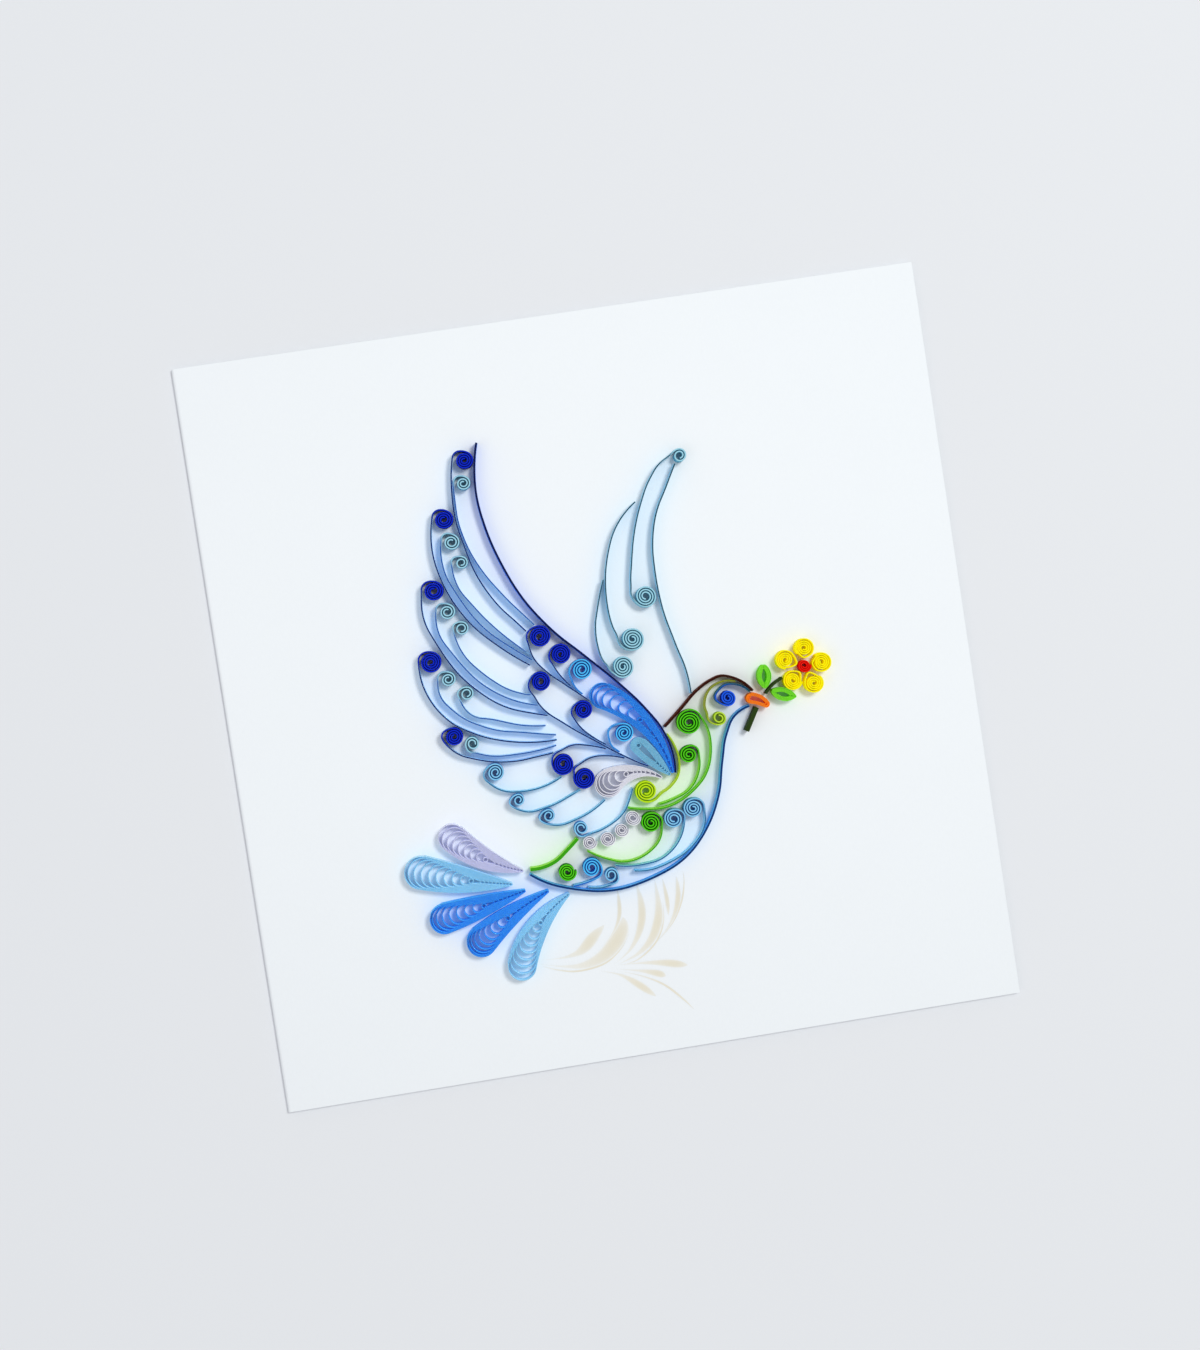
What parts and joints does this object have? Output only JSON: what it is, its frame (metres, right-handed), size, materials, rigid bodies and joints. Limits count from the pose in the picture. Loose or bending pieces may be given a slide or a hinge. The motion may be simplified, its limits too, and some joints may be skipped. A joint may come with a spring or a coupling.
{
  "type": "quilled paper art",
  "caption": "Square folded card with a dove of coiled and curved paper strips on edge, carrying a flower sprig in its beak.",
  "frame": {"origin": "centre of the folded card on the plane that it lies on", "axes": "+Z out of the card's front, +X along the bottom edge away from the fold, +Y to the top edge"},
  "size_m": [0.1524, 0.1524, 0.0044],
  "materials": {
    "white_card": "smooth matt card",
    "navy_paper": "matt coloured paper",
    "teal_paper": "matt coloured paper",
    "azure_paper": "matt coloured paper",
    "midnight_paper": "matt coloured paper",
    "brown_paper": "matt coloured paper",
    "outline_paper": "matt coloured paper",
    "royal_paper": "matt coloured paper",
    "sky_paper": "matt coloured paper",
    "grey_paper": "matt coloured paper",
    "lilac_paper": "matt coloured paper",
    "mist_paper": "matt coloured paper",
    "pale_blue_paper": "matt coloured paper",
    "olive_paper": "matt coloured paper",
    "eye_paper": "matt coloured paper",
    "green_paper": "matt coloured paper",
    "lime_paper": "matt coloured paper",
    "orange_paper": "matt coloured paper",
    "leaf_paper": "matt coloured paper",
    "stem_paper": "matt coloured paper",
    "yellow_paper": "matt coloured paper",
    "red_paper": "matt coloured paper"
  },
  "bodies": {
    "root": {"folded_card": "white_card", "covert_1": "navy_paper", "covert_2": "navy_paper", "covert_4": "navy_paper", "covert_5": "navy_paper", "flank_1": "navy_paper", "flank_2": "navy_paper", "feather_1": "navy_paper", "feather_2": "navy_paper", "feather_3": "navy_paper", "feather_4": "navy_paper", "feather_5": "navy_paper", "feather_1_inner": "teal_paper", "feather_2_inner_a": "teal_paper", "feather_2_inner_b": "teal_paper", "feather_3_inner_a": "teal_paper", "feather_3_inner_b": "teal_paper", "feather_4_inner_a": "teal_paper", "feather_4_inner_b": "teal_paper", "feather_5_inner": "teal_paper", "covert_3": "azure_paper", "shoulder_scroll": "azure_paper", "blue_scroll_3": "azure_paper", "wing_edge_strip": "midnight_paper", "back_strip": "brown_paper", "body_outline": "outline_paper", "wing_teardrop_blue": "royal_paper", "tail_feather_3": "royal_paper", "tail_feather_4": "royal_paper", "wing_teardrop_teal": "sky_paper", "tail_feather_2": "sky_paper", "tail_feather_5": "sky_paper", "wing_teardrop_grey": "grey_paper", "white_beads": "grey_paper", "tail_feather_1": "lilac_paper", "far_wing_double_scroll": "mist_paper", "far_wing_strip": "mist_paper", "far_wing_scroll_outer": "mist_paper", "far_wing_scroll_inner": "mist_paper", "lower_edge_1": "pale_blue_paper", "lower_edge_2": "pale_blue_paper", "lower_edge_3": "pale_blue_paper", "lower_edge_4": "pale_blue_paper", "blue_scroll_1": "pale_blue_paper", "blue_scroll_2": "pale_blue_paper", "blue_scroll_4": "pale_blue_paper", "olive_scroll": "olive_paper", "eye_scroll": "eye_paper", "green_scroll_1": "green_paper", "green_scroll_2": "green_paper", "green_scroll_3": "green_paper", "green_bead": "green_paper", "green_stripe": "green_paper", "lime_scroll": "lime_paper", "beak": "orange_paper", "leaves": "leaf_paper", "stem": "stem_paper", "petals": "yellow_paper", "flower_centre": "red_paper"}
  },
  "joints": []
}
